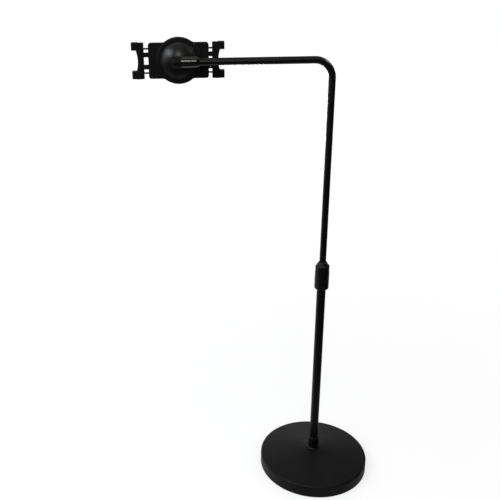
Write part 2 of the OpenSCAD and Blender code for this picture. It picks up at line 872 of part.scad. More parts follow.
module front_plate() {
    color(black_plastic) at_head() difference() {
        slab(housing_front_y, front_face_y) holder_outline();
        for (sx = [-1, 1], sz = [-1, 1]) {
            translate([sx * screw_x, housing_front_y - cut, sz * screw_z]) along_y()
                cylinder(r = screw_r + seat_gap, h = screw_bite + slide_gap + cut);
        }
    }
}

module front_pad() {
    color(soft_black) at_head() slab(front_face_y, device_y)
        round_rect(housing_w - 2 * front_pad_margin, housing_h - front_pad_margin, front_pad_corner_r);
}

module housing_screws() {
    head_y = housing_y + screw_recess_h - screw_head_h;
    color(iron) at_head() for (sx = [-1, 1], sz = [-1, 1]) {
        translate([sx * screw_x, head_y, sz * screw_z]) along_y() {
            cylinder(r = screw_head_r, h = screw_head_h);
            cylinder(r = screw_r, h = housing_front_y + screw_bite - head_y);
        }
    }
}

// Rubber blocks behind the front plate that press on the rails
module brake_shoes() {
    shoe_y = rail_y + rail_t + pass_gap;
    color(soft_black) at_head() for (sx = [-1, 1], sz = [-1, 1]) {
        translate([sx * (shoe_x + shoe_l / 2), 0, sz * rail_z])
            slab(shoe_y, housing_front_y) square([shoe_l, shoe_h], center = true);
    }
}

// Section of a finger in x and y: base, outer wall and front lip round a slot
module finger_section() {
    tip_r = lip_t / 2;
    difference() {
        translate([claw_w / 2, (finger_y + lip_y + lip_t) / 2])
            round_rect(claw_w, lip_y + lip_t - finger_y, finger_edge_r);
        translate([-cut, front_face_y]) square([slot_x + cut, lip_y - front_face_y]);
        translate([-cut, lip_y - cut]) square([lip_tip_x + tip_r + cut, lip_t + 2 * cut]);
        translate([-cut, finger_y - cut]) square([finger_root_x + cut, claw_w]);
    }
    translate([lip_tip_x + tip_r, lip_y + tip_r]) circle(r = tip_r);
}

// The claw's bar from behind, its outer edge hollowed between the fingers
module bar_outline() {
    difference() {
        translate([bar_w / 2, 0]) square([bar_w, claw_h], center = true);
        translate([bar_w - waist_sag + waist_r, 0]) circle(r = waist_r);
    }
}

// One claw with its two rails, x outwards from its inner edge
module claw_solid() {
    difference() {
        union() {
            slab(bar_y + bar_step, front_face_y) bar_outline();
            slab(bar_y, front_face_y) intersection() {
                bar_outline();
                translate([bar_step_w, -claw_h / 2]) square([bar_w, claw_h]);
            }
            for (z = [-claw_h / 2, claw_h / 2 - finger_h]) {
                translate([0, 0, z]) linear_extrude(finger_h) finger_section();
            }
            for (s = [-1, 1]) {
                translate([-rail_len, rail_y, s * rail_z - rail_h / 2])
                    cube([rail_len + cut, rail_t, rail_h]);
            }
        }
        for (s = [-1, 1]) {
            translate([-cut, rod_y, s * rod_z]) along_x()
                cylinder(r = rod_r + seat_gap, h = rod_grip + cut);
        }
    }
}

module claw_rods() {
    for (s = [-1, 1]) {
        translate([-rod_len, rod_y, s * rod_z]) along_x()
            cylinder(r = rod_r, h = rod_len + rod_grip);
    }
}

module claw_clips() {
    for (s = [-1, 1]) {
        translate([clip_inset - rod_len, rod_y, s * rod_z]) along_x()
            ring(clip_r, rod_r + seat_gap, clip_t);
    }
}

// L-shaped linings on the fingers' bases and outer walls
module claw_pads() {
    base_x = bar_step_w;
    for (s = [-1, 1]) {
        translate([0, 0, s * (claw_h - finger_h) / 2 - finger_h / 2 + lining_margin])
            linear_extrude(finger_h - 2 * lining_margin) {
                translate([base_x, front_face_y]) square([slot_x - base_x, front_pad_t]);
                translate([slot_x - lining_t, front_face_y])
                    square([lining_t, lip_y - front_face_y - lining_margin]);
            }
    }
}

// Places a claw's piece on the left or right of the housing
module at_left() {
    at_head() translate([-housing_w / 2 - gap_left, 0, 0]) mirror([1, 0, 0]) children();
}

module at_right() {
    at_head() translate([housing_w / 2 + gap_right, 0, 0]) children();
}

module claw_left() {
    color(black_plastic) at_left() claw_solid();
}

module claw_left_rods() {
    color(iron) at_left() claw_rods();
}

module claw_left_clips() {
    color(steel) at_left() claw_clips();
}

module claw_left_pads() {
    color(soft_black) at_left() claw_pads();
}

module claw_right() {
    color(black_plastic) at_right() claw_solid();
}

module claw_right_rods() {
    color(iron) at_right() claw_rods();
}

module claw_right_clips() {
    color(steel) at_right() claw_clips();
}

module claw_right_pads() {
    color(soft_black) at_right() claw_pads();
}

foot_pad();
base_weight();
base_cover();
pole_ferrule();
tube_plug();
base_bolt();
base_washer();
lower_tube();
clutch_body();
clutch_collet();
clutch_grip();
clutch_nose_ring();
guide_bush();
upper_tube();
arm_plug();
end_washer();
end_screw();
arm_collar();
collar_screw();
tilt_sleeve();
sleeve_cap();
sleeve_liner();
swivel_dome();
friction_washer();
swivel_bush();
swivel_washer();
swivel_bolt();
back_housing();
front_plate();
front_pad();
housing_screws();
brake_shoes();
claw_left();
claw_left_rods();
claw_left_clips();
claw_left_pads();
claw_right();
claw_right_rods();
claw_right_clips();
claw_right_pads();
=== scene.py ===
# %% [markdown]
# # A floor stand with a sliding-claw holder
#
# This lesson dresses a finished CAD model: a heavy round foot, a telescopic pole with a twist clutch, a
# bent arm, and a holder with two claws. The solids arrive as a fixed frame, so nothing here changes a
# size. What we add is everything the eye reads as material: paint, moulded grain, foam, plated steel, and
# the small softened edges that catch the light.
#
# Nearly every surface is black. Black is the hardest colour to light, because the eye sees only
# reflections, so the order is: camera first, then the room that gets reflected, then the finishes.

# %% Load the frame
import json
import math

import bmesh
import bpy
from mathutils import Matrix, Vector


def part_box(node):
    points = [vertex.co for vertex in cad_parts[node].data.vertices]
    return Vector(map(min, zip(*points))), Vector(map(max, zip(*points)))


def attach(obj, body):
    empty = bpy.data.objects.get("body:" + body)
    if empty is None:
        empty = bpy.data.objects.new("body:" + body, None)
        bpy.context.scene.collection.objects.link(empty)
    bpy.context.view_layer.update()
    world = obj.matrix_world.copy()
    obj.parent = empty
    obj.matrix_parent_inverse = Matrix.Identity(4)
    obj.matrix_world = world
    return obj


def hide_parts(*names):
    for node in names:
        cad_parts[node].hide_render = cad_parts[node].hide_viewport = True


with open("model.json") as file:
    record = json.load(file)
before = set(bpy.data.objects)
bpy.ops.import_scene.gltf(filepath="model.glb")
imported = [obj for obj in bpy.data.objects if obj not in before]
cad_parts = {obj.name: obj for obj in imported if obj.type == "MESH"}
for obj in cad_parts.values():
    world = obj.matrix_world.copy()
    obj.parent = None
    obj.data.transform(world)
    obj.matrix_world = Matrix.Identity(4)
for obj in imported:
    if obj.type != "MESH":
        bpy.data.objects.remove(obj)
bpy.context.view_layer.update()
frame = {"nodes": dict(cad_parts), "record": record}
nodes = frame["nodes"]
scene = bpy.context.scene
MM = 0.001

# %% [markdown]
# ## The camera
#
# The picture was taken from the side of the arm, a little above the holder, looking down at the foot. We
# could turn the camera until the picture looks right, but a measured one is steadier: the position and
# the three angles below were fitted to the edges of the pole, the arm and the foot. The picture was
# cropped sideways, so the lens is shifted by the same amount. Depth of field stays off.

# %% Camera
IMAGE_PX = 500
SENSOR_MM = 36
FOCAL_PX = 654.8
CROP_SHIFT_PX = 40
NEAREST, FARTHEST = 0.05, 60
CAMERA_PLACE = Vector((-0.341, -1.4684, 1.1973))
YAW, PITCH, ROLL = (math.radians(a) for a in (2.57, 20.92, 0.80))


def camera_axes(yaw, pitch, roll):
    """Right, up and backward directions of a camera that looks along +Y when all angles are zero."""
    forward = Vector((math.sin(yaw) * math.cos(pitch), math.cos(yaw) * math.cos(pitch), -math.sin(pitch)))
    level = Vector((math.cos(yaw), -math.sin(yaw), 0))
    down = forward.cross(level)
    right = level * math.cos(roll) + down * math.sin(roll)
    down = down * math.cos(roll) - level * math.sin(roll)
    return right, -down, -forward


lens = bpy.data.cameras.new("camera")
lens.sensor_width = SENSOR_MM
lens.lens = FOCAL_PX * SENSOR_MM / IMAGE_PX
lens.shift_x = CROP_SHIFT_PX / IMAGE_PX
lens.clip_start, lens.clip_end = NEAREST, FARTHEST
camera = bpy.data.objects.new("camera", lens)
scene.collection.objects.link(camera)
turned = Matrix(camera_axes(YAW, PITCH, ROLL)).transposed().to_4x4()
camera.matrix_world = Matrix.Translation(CAMERA_PLACE) @ turned
scene.camera = camera
scene.view_settings.view_transform = "Standard"
print("lens", round(lens.lens, 2), "mm, shifted by", lens.shift_x)

# %% [markdown]
# ## A small kit for node graphs
#
# Every finish below is a graph of a few nodes that turn a place on the surface into a colour, a roughness
# and a tiny height. Writing each node out in full would bury the idea, so a few helpers add a node with
# its wires, rescale a value, mix two colours and do one sum.

# %% Helpers that add and join nodes
MIX_FIRST, MIX_SECOND, MIX_RESULT = 6, 7, 2


def add_node(tree, kind, settings=None, **inputs):
    """Adds a node, sets its options, and fills or wires its inputs by name."""
    made = tree.nodes.new(kind)
    for key, value in (settings or {}).items():
        setattr(made, key, value)
    for key, value in inputs.items():
        socket = made.inputs[key.replace("_", " ")]
        if isinstance(value, bpy.types.NodeSocket):
            tree.links.new(value, socket)
        else:
            socket.default_value = value
    return made


def rescale(tree, value, low, high, to_low, to_high):
    """Maps a range of a value on to another range, and holds it at both ends."""
    made = add_node(tree, "ShaderNodeMapRange", {"clamp": True}, Value=value)
    for key, number in zip(("From Min", "From Max", "To Min", "To Max"), (low, high, to_low, to_high)):
        made.inputs[key].default_value = number
    return made.outputs["Result"]


def blend_colour(tree, amount, first, second):
    """Mixes two colours by an amount between 0 and 1."""
    made = tree.nodes.new("ShaderNodeMix")
    made.data_type = "RGBA"
    tree.links.new(amount, made.inputs["Factor"])
    for socket, colour in zip((made.inputs[MIX_FIRST], made.inputs[MIX_SECOND]), (first, second)):
        if isinstance(colour, bpy.types.NodeSocket):
            tree.links.new(colour, socket)
        else:
            socket.default_value = (*colour, 1)
    return made.outputs[MIX_RESULT]


def combine(tree, operation, first, second):
    """One arithmetic step on two values."""
    made = tree.nodes.new("ShaderNodeMath")
    made.operation = operation
    for socket, value in zip(made.inputs, (first, second)):
        if isinstance(value, bpy.types.NodeSocket):
            tree.links.new(value, socket)
        else:
            socket.default_value = value
    return made.outputs[0]


print("helpers that add and join nodes are ready")

# %% [markdown]
# ## Patterns, edges and heights
#
# Patterns are measured in object space. All the solids share one origin, so a grain of a given size is
# the same on every piece. Rubbed edges could be painted by hand, but the Bevel node finds them: it gives
# a normal that is rounded near an edge, and where that turns away from the face's own normal there is an
# edge. The rounded normal itself is handed on, so that edges too fine for a real bevel still look soft.
# Heights are stacked on it.


# %% Patterns on a surface
def place_on_surface(tree, stretch=(1, 1, 1)):
    """The point on the piece in metres, squeezed along an axis where a pattern is drawn out."""
    point = tree.nodes.new("ShaderNodeTexCoord").outputs["Object"]
    return add_node(tree, "ShaderNodeMapping", Vector=point, Scale=stretch).outputs["Vector"]


def cloud(tree, size_mm, detail, stretch=(1, 1, 1)):
    """Soft noise whose blots are about size_mm across, from 0 to 1."""
    made = add_node(tree, "ShaderNodeTexNoise", Vector=place_on_surface(tree, stretch),
                    Scale=1 / (size_mm * MM), Detail=detail)
    return made.outputs[0]


def cells(tree, size_mm):
    """Distance to the nearest of many scattered points about size_mm apart."""
    made = add_node(tree, "ShaderNodeTexVoronoi", Vector=place_on_surface(tree), Scale=1 / (size_mm * MM))
    return made.outputs["Distance"]


print("patterns ready")

# %% Edges and heights
EDGE_SAMPLES = 6
EDGE_BEGINS, EDGE_FULL = 0.995, 0.88


def edges_and_rounding(tree, width_mm):
    """A value near 1 along the piece's edges, and the rounded normal that finds them."""
    rounding = add_node(tree, "ShaderNodeBevel", {"samples": EDGE_SAMPLES}, Radius=width_mm * MM)
    soft = rounding.outputs["Normal"]
    sharp = tree.nodes.new("ShaderNodeNewGeometry").outputs["Normal"]
    turn = add_node(tree, "ShaderNodeVectorMath", {"operation": "DOT_PRODUCT"})
    tree.links.new(soft, turn.inputs[0])
    tree.links.new(sharp, turn.inputs[1])
    return rescale(tree, turn.outputs["Value"], EDGE_BEGINS, EDGE_FULL, 0.0, 1.0), soft


def bumps(tree, *layers, start=None):
    """Stacks heights on a first normal. A layer is its height value, its depth in mm and its strength."""
    normal = start
    for height, depth_mm, strength in layers:
        made = add_node(tree, "ShaderNodeBump", Height=height, Distance=depth_mm * MM, Strength=strength)
        if normal is not None:
            tree.links.new(normal, made.inputs["Normal"])
        normal = made.outputs["Normal"]
    return normal


print("edges and heights ready")


# %% Start and end of a finish
def start_finish(name):
    """An empty material with one surface shader."""
    made = bpy.data.materials.new(name)
    made.use_nodes = True
    tree = made.node_tree
    tree.nodes.clear()
    out = tree.nodes.new("ShaderNodeOutputMaterial")
    shader = tree.nodes.new("ShaderNodeBsdfPrincipled")
    tree.links.new(shader.outputs[0], out.inputs["Surface"])
    return made, tree, shader


def feed(tree, shader, colour, roughness, normal):
    """Wires the three things that vary over a surface."""
    tree.links.new(colour, shader.inputs["Base Color"])
    tree.links.new(roughness, shader.inputs["Roughness"])
    tree.links.new(normal, shader.inputs["Normal"])


print("finishes can begin")

# %% [markdown]
# ## The floor
#
# The stand is shown on white, so the floor looks white to the camera. A white that really lit the object
# would turn every black part grey, so the Light Path node splits the rays: those that come from the
# camera see white, those from a mirror see something quieter. A black surface is drawn by what it
# mirrors. So in mirrors the floor is a pale patch round the foot that fades outwards and to the right,
# and it is dim on the camera's side. The floor still receives the real light, so the stand keeps its
# shadow.


# %% Which ray is asking
def mirrored_ray(tree):
    """1 for rays from mirror-like surfaces and through glass."""
    path = tree.nodes.new("ShaderNodeLightPath").outputs
    return combine(tree, "MAXIMUM", path["Is Glossy Ray"], path["Is Transmission Ray"])


def camera_ray(tree):
    """1 for rays that come straight from the camera."""
    return tree.nodes.new("ShaderNodeLightPath").outputs["Is Camera Ray"]


print("rays can be told apart")

# %% Floor
FLOOR_SIZE, FLOOR_DROP = 30.0, 0.0004
FLOOR_PALE, FLOOR_DIM = 0.70, 0.05
GLOW_NEAR, GLOW_FAR = 0.66, 0.79
GLOW_REACH = (0.4, 2.5)
DIM_EDGE, PALE_EDGE, EDGE_TURN = -0.15, 0.35, 0.2
DIM_SIDE = 0.30
PATCH_REACH, PATCH_LEFT_OVER = (0.2, 0.6), 0.08
RIGHT_FADE, RIGHT_LEFT_OVER = (0.1, 0.7), 0.2


def make_floor():
    """A wide pale sheet under the foot, white to the camera and mostly dim in mirrors."""
    mesh = bpy.data.meshes.new("floor")
    half = FLOOR_SIZE / 2
    corners = [(-half, -half, 0), (half, -half, 0), (half, half, 0), (-half, half, 0)]
    mesh.from_pydata(corners, [], [(0, 1, 2, 3)])
    made = bpy.data.objects.new("floor", mesh)
    made.location.z = -FLOOR_DROP
    scene.collection.objects.link(made)
    material, tree, shader = start_finish("pale_floor")
    point = tree.nodes.new("ShaderNodeTexCoord").outputs["Object"]
    apart = add_node(tree, "ShaderNodeSeparateXYZ", Vector=point).outputs
    depth = combine(tree, "SUBTRACT", apart["Y"], combine(tree, "MULTIPLY", apart["X"], EDGE_TURN))
    pale = rescale(tree, depth, DIM_EDGE, PALE_EDGE, 0, 1)
    away = add_node(tree, "ShaderNodeVectorMath", {"operation": "LENGTH"}, Vector=point).outputs["Value"]
    glow = rescale(tree, away, *GLOW_REACH, GLOW_NEAR, GLOW_FAR)
    seen = combine(tree, "MULTIPLY", camera_ray(tree), glow)
    patch = combine(tree, "MULTIPLY", rescale(tree, pale, 0, 1, DIM_SIDE, 1),
                    rescale(tree, away, *PATCH_REACH, 1, PATCH_LEFT_OVER))
    patch = combine(tree, "MULTIPLY", patch, rescale(tree, apart["X"], *RIGHT_FADE, 1, RIGHT_LEFT_OVER))
    mirrored = combine(tree, "MULTIPLY", mirrored_ray(tree), combine(tree, "MULTIPLY", patch, glow))
    shown = combine(tree, "MAXIMUM", pale, camera_ray(tree))
    paint = blend_colour(tree, shown, [FLOOR_DIM] * 3, [FLOOR_PALE] * 3)
    tree.links.new(paint, shader.inputs["Base Color"])
    tree.links.new(combine(tree, "ADD", seen, mirrored), shader.inputs["Emission Strength"])
    shader.inputs["Emission Color"].default_value = (1, 1, 1, 1)
    shader.inputs["Roughness"].default_value = 1.0
    shader.inputs["Specular IOR Level"].default_value = 0.0
    mesh.materials.append(material)


make_floor()
print("floor", FLOOR_SIZE, "m wide")

# %% [markdown]
# ## The room
#
# The world works as the floor does. The camera sees white, soft light comes from a quiet grey, and
# mirrors see a room: a wall behind the stand that darkens upwards and to the right, a pale wall on the
# left and a ceiling. The side behind the camera is kept dim. That gives each tube a soft left edge and a
# dark right one. Real boards round the stand would do the same, but they would have to be hidden from
# every other view.

# %% World
SOFT_LIGHT = 0.34
DIM_ROOM, LEFT_WALL, CEILING = 0.04, 0.75, 0.45
BACK_WALL_LOW, BACK_WALL_HIGH = 0.65, 0.22
BACK_WALL_REACH, BACK_WALL_FADE = (0.2, 0.9), (0.3, 0.75)
LEFT_WALL_REACH, CEILING_REACH = (-0.55, -0.97), (0.72, 0.95)


def make_world():
    """White where it is looked at, walls and a ceiling where it is mirrored, quiet grey as a light."""
    world = bpy.data.worlds.new("room")
    scene.world = world
    world.use_nodes = True
    tree = world.node_tree
    tree.nodes.clear()
    towards = tree.nodes.new("ShaderNodeTexCoord").outputs["Generated"]
    apart = add_node(tree, "ShaderNodeSeparateXYZ", Vector=towards).outputs
    behind = combine(tree, "MULTIPLY", rescale(tree, apart["Y"], *BACK_WALL_REACH, 0, 1),
                     rescale(tree, apart["Z"], *BACK_WALL_FADE, BACK_WALL_LOW, BACK_WALL_HIGH))
    behind = combine(tree, "MULTIPLY", behind, rescale(tree, apart["X"], *RIGHT_FADE, 1, RIGHT_LEFT_OVER))
    left = rescale(tree, apart["X"], *LEFT_WALL_REACH, DIM_ROOM, LEFT_WALL)
    above = rescale(tree, apart["Z"], *CEILING_REACH, 0, CEILING)
    room = combine(tree, "MAXIMUM", combine(tree, "MAXIMUM", behind, left), above)
    walls = combine(tree, "MULTIPLY", mirrored_ray(tree), room)
    sharp = combine(tree, "MAXIMUM", camera_ray(tree), mirrored_ray(tree))
    soft = combine(tree, "MULTIPLY", combine(tree, "SUBTRACT", 1.0, sharp), SOFT_LIGHT)
    strength = combine(tree, "ADD", combine(tree, "ADD", camera_ray(tree), walls), soft)
    sky = add_node(tree, "ShaderNodeBackground", Strength=strength)
    sky.inputs["Color"].default_value = (1, 1, 1, 1)
    out = tree.nodes.new("ShaderNodeOutputWorld")
    tree.links.new(sky.outputs[0], out.inputs["Surface"])


make_world()
print("room with soft light", SOFT_LIGHT)

# %% [markdown]
# ## The lamps
#
# Four lamps shape the black. A broad one on the left, like a window, gives the dome its bluish sheen and
# the left sides their edge. A box above and in front draws the long highlight on the arm and its sleeve.
# A box behind shows the front of the holder, and a narrow warm one on the right picks out the bend. The
# last two have a small spread, so that they light little else. All are area lamps, because a soft edge on
# a highlight tells the eye that the paint is satin.

# %% Lamps
HOLDER_MIDDLE = Vector((-0.337, 0.0, 1.072))
BEND_MIDDLE = Vector((-0.03, 0.0, 1.04))


def area_lamp(name, place, aim, size, watts, colour, spread_deg=180):
    """A rectangular lamp that faces a point. A small spread acts as the honeycomb grid on a softbox."""
    data = bpy.data.lights.new(name, "AREA")
    data.shape = "RECTANGLE"
    data.size, data.size_y = size
    data.energy = watts
    data.color = colour
    data.spread = math.radians(spread_deg)
    made = bpy.data.objects.new(name, data)
    made.location = place
    made.rotation_euler = (aim - Vector(place)).to_track_quat("-Z", "Y").to_euler()
    scene.collection.objects.link(made)


area_lamp("window", (-1.69, -1.04, 2.10), HOLDER_MIDDLE, (1.1, 0.8), 12.5, (0.84, 0.93, 1.0))
area_lamp("front_box", (-0.33, -2.05, 2.02), HOLDER_MIDDLE, (0.6, 1.0), 8, (1.0, 0.93, 0.85))
area_lamp("rear_box", (-0.2, 1.7, 0.6), HOLDER_MIDDLE, (0.5, 0.35), 1.3, (1.0, 0.97, 0.94), spread_deg=50)
area_lamp("bend_box", (1.26, 0.10, 2.12), BEND_MIDDLE, (0.45, 0.45), 0.28, (1.0, 0.95, 0.82), spread_deg=18)

# %% [markdown]
# ## Black finishes
#
# A sprayed tube, a moulded housing and an enamelled casting are all black, yet nobody mixes them up. The
# difference is in how rough they are and how fine their grain is. One recipe covers them: a faint cloud
# in the colour, a second one in the roughness, two layers of height on the rounded normal, and a paler,
# smoother line where hands and boxes have rubbed the edges. A noise breaks that line up, because wear is
# never even. On the ferrule that paler line is a painted highlight. Each finish then sets its own sizes.

# %% Recipe for black finishes
NOISE_SPAN = (0.3, 0.7)
MOTTLE_MM, MOTTLE_SPAN, MOTTLE_LIFT = 38, (0.35, 0.65), 1.35
EDGE_BREAKUP_MM, EDGE_BREAKUP_SPAN, EDGE_BREAKUP_LEAST = 5, (0.38, 0.62), 0.15
RUB_MM = 14
SCUFF_MM, SCUFF_SPAN, SCUFF_ROUGHER = 1.2, (0.62, 0.78), 0.10
EDGE_SMOOTHER = 0.06


def black_finish(name, colour, edge_wear_and_highlight, rough, shine, grain, peel, edge_mm, scuff=None):
    """Black paint or plastic. rough is its roughness range; grain and peel are (size, depth, strength)."""
    material, tree, shader = start_finish(name)
    mottle = rescale(tree, cloud(tree, MOTTLE_MM, 3), *MOTTLE_SPAN, 0, 1)
    base = blend_colour(tree, mottle, colour, [c * MOTTLE_LIFT for c in colour])
    edges, rounded = edges_and_rounding(tree, edge_mm)
    edge_breakup = rescale(tree, cloud(tree, EDGE_BREAKUP_MM, 4), *EDGE_BREAKUP_SPAN, EDGE_BREAKUP_LEAST, 1)
    wear_and_highlight_mask = combine(tree, "MULTIPLY", edges, edge_breakup)
    # Paler along the edges: wear, and on the ferrule a painted highlight.
    base = blend_colour(tree, wear_and_highlight_mask, base, edge_wear_and_highlight)
    rubbed = rescale(tree, cloud(tree, RUB_MM, 4), *NOISE_SPAN, *rough)
    if scuff is not None:
        marks = rescale(tree, cloud(tree, SCUFF_MM, 2, scuff), *SCUFF_SPAN, 0, SCUFF_ROUGHER)
        rubbed = combine(tree, "ADD", rubbed, marks)
    roughness = combine(tree, "SUBTRACT", rubbed, combine(tree, "MULTIPLY", wear_and_highlight_mask, EDGE_SMOOTHER))
    heights = ((cloud(tree, grain[0], 2), *grain[1:]), (cloud(tree, peel[0], 1), *peel[1:]))
    feed(tree, shader, base, roughness, bumps(tree, *heights, start=rounded))
    shader.inputs["Specular IOR Level"].default_value = shine
    print("finish", name, "with", len(tree.nodes), "nodes")
    return material


# %% [markdown]
# ## Foot and tubes
#
# The foot is sprayed with a dry satin black. It has a fine sandy grain and wide faint clouds where it was
# wiped. The tubes carry a thicker powder coat: it melts in the oven and sets with the slow waves called
# orange peel. Sliding through the clutch leaves long hair-fine marks, so the scuff noise is drawn out
# along the pole.

# %% Foot and tube finishes
foot_black = black_finish(
    "foot_black", (0.0060, 0.0060, 0.0062), (0.020, 0.020, 0.020), (0.40, 0.48), 0.30,
    grain=(0.45, 0.02, 0.30), peel=(6.0, 0.015, 0.10), edge_mm=1.2)
tube_black = black_finish(
    "tube_black", (0.0030, 0.0029, 0.0029), (0.012, 0.012, 0.012), (0.30, 0.38), 0.35,
    grain=(0.7, 0.003, 0.08), peel=(3.2, 0.008, 0.08), edge_mm=0.4, scuff=(1, 1, 0.02))

# %% [markdown]
# ## Casting and mouldings
#
# The sleeve that tilts on the arm is a small casting under gloss enamel, and it takes the sharpest
# highlight on the stand. The holder is moulded plastic with an etched grain. The clutch, the ferrule and
# the dome come from smoother tools: their broad sheen shows that they are satin and not matt. The ferrule
# is the darkest, and its rims are painted the palest: a painted highlight where they catch the light.

# %% Casting and moulding finishes
cast_black = black_finish(
    "cast_black", (0.0036, 0.0032, 0.0031), (0.016, 0.014, 0.013), (0.13, 0.17), 0.80,
    grain=(0.9, 0.002, 0.05), peel=(4.0, 0.006, 0.05), edge_mm=0.5)
moulded_black = black_finish(
    "moulded_black", (0.0036, 0.0036, 0.0038), (0.014, 0.014, 0.015), (0.46, 0.56), 0.20,
    grain=(0.32, 0.02, 0.35), peel=(7.0, 0.015, 0.08), edge_mm=0.5)
clutch_black = black_finish(
    "clutch_black", (0.0032, 0.0031, 0.0031), (0.014, 0.014, 0.014), (0.28, 0.36), 0.45,
    grain=(0.4, 0.006, 0.15), peel=(5.0, 0.008, 0.06), edge_mm=0.4)
# The ferrule's edge colour, far paler than on the other finishes, is a painted highlight: the pale crescent
# where its rims catch the light.
ferrule_black = black_finish(
    "ferrule_black", (0.0020, 0.0020, 0.0020), (0.050, 0.050, 0.049), (0.28, 0.36), 0.45,
    grain=(0.4, 0.006, 0.15), peel=(5.0, 0.008, 0.06), edge_mm=1.0)
dome_black = black_finish(
    "dome_black", (0.0034, 0.0035, 0.0038), (0.018, 0.019, 0.021), (0.30, 0.36), 0.57,
    grain=(0.5, 0.008, 0.18), peel=(5.0, 0.010, 0.08), edge_mm=0.7)

# %% [markdown]
# ## Foam and nylon
#
# The linings are black foam: its skin is full of cut cells, which a Voronoi pattern imitates better than
# a noise. The bushes and liners are natural nylon. It is slightly milky, so a little light is let under
# its surface. Most of these show only when the claws slide or when the stand is turned over, but they are
# finished all the same.

# %% Foam
PORE_MM, PORE_SPAN, PORE_BUMP = 0.55, (0.1, 0.6), (0.12, 0.6)
# The open cells get the darker colour: painted shade in their pits.
FOAM_PORE_SHADE, FOAM_SKIN = [0.028] * 3, [0.052] * 3
FOAM_WAVE_MM, FOAM_WAVE_BUMP = 4, (0.15, 0.3)
FOAM_PATCH_MM, FOAM_ROUGH, FOAM_SHINE = 9, (0.82, 0.95), 0.2


def foam_finish():
    """Closed-cell foam with open cells on its cut skin."""
    material, tree, shader = start_finish("foam_black")
    pores = rescale(tree, cells(tree, PORE_MM), *PORE_SPAN, 0, 1)
    # Darker at the middle of each cell: painted shade in the pores.
    base = blend_colour(tree, pores, FOAM_PORE_SHADE, FOAM_SKIN)
    roughness = rescale(tree, cloud(tree, FOAM_PATCH_MM, 3), *NOISE_SPAN, *FOAM_ROUGH)
    waves = cloud(tree, FOAM_WAVE_MM, 2)
    feed(tree, shader, base, roughness, bumps(tree, (pores, *PORE_BUMP), (waves, *FOAM_WAVE_BUMP)))
    shader.inputs["Specular IOR Level"].default_value = FOAM_SHINE
    return material


foam_black = foam_finish()
print("made", foam_black.name)

# %% Nylon
FLOW_MM, FLOW_BUMP = 12, (0.05, 0.2)
NYLON_SHADE, NYLON_LIGHT = (0.66, 0.64, 0.57), (0.74, 0.73, 0.67)
NYLON_GLOSS_MM, NYLON_ROUGH = 3, (0.38, 0.50)
NYLON_GRAIN_MM, NYLON_GRAIN_BUMP = 0.6, (0.02, 0.3)
MILKINESS, MILK_REACH = 0.12, (0.002, 0.002, 0.0015)


def nylon_finish():
    """Natural nylon, slightly milky."""
    material, tree, shader = start_finish("nylon_natural")
    flow = rescale(tree, cloud(tree, FLOW_MM, 3), *NOISE_SPAN, 0, 1)
    base = blend_colour(tree, flow, NYLON_SHADE, NYLON_LIGHT)
    roughness = rescale(tree, cloud(tree, NYLON_GLOSS_MM, 3), *NOISE_SPAN, *NYLON_ROUGH)
    grain = cloud(tree, NYLON_GRAIN_MM, 2)
    feed(tree, shader, base, roughness, bumps(tree, (grain, *NYLON_GRAIN_BUMP), (flow, *FLOW_BUMP)))
    shader.inputs["Subsurface Weight"].default_value = MILKINESS
    shader.inputs["Subsurface Radius"].default_value = MILK_REACH
    return material


nylon_natural = nylon_finish()
print("made", nylon_natural.name)

# %% [markdown]
# ## Metals
#
# Plated screws carry the fine lines of their tools, blackened rods keep an oily gloss, and the weight in
# the foot is rough iron. One recipe serves all three. The lines could be an anisotropic gloss, but that
# needs a tangent on every piece. A noise squeezed along one axis gives the same look from plain
# coordinates.

# %% Metal finishes
MARK_MM, MARK_BUMP = 0.35, (0.01, 0.2)
STAIN_MM, STAIN_SPAN, STAIN_ROUGHER = 11, (0.35, 0.7), 0.08


def metal_finish(name, light, dark, rough, lay, pits):
    """Bare or plated metal. lay squeezes the tool marks, pits is (size, depth, strength) of its skin."""
    material, tree, shader = start_finish(name)
    marks = cloud(tree, MARK_MM, 3, lay)
    stain = rescale(tree, cloud(tree, STAIN_MM, 4), *STAIN_SPAN, 0, 1)
    base = blend_colour(tree, stain, light, dark)
    roughness = combine(tree, "ADD", rescale(tree, marks, *NOISE_SPAN, *rough),
                        combine(tree, "MULTIPLY", stain, STAIN_ROUGHER))
    skin = cloud(tree, pits[0], 3)
    feed(tree, shader, base, roughness, bumps(tree, (skin, *pits[1:]), (marks, *MARK_BUMP)))
    shader.inputs["Metallic"].default_value = 1.0
    print("finish", name, "with", len(tree.nodes), "nodes")
    return material


plated_steel = metal_finish("plated_steel", (0.60, 0.61, 0.63), (0.46, 0.46, 0.46), (0.24, 0.36),
                            lay=(1, 1, 0.1), pits=(1.5, 0.02, 0.15))
blackened_steel = metal_finish("blackened_steel", (0.050, 0.050, 0.054), (0.030, 0.029, 0.028), (0.26, 0.38),
                               lay=(0.05, 1, 1), pits=(1.0, 0.01, 0.15))
rough_iron = metal_finish("rough_iron", (0.10, 0.10, 0.10), (0.055, 0.050, 0.046), (0.55, 0.75),
                          lay=(1, 1, 1), pits=(1.8, 0.25, 0.6))

# %% [markdown]
# ## Dressing the solids
#
# Each CAD solid keeps its shape and gets a finish. The record names a material slot for every node, so a
# table from slot to finish dresses them all, and a second table names the three nodes whose tool was
# smoother than their slot says. Setting each node by hand would work too, but a new node could then be
# forgotten.

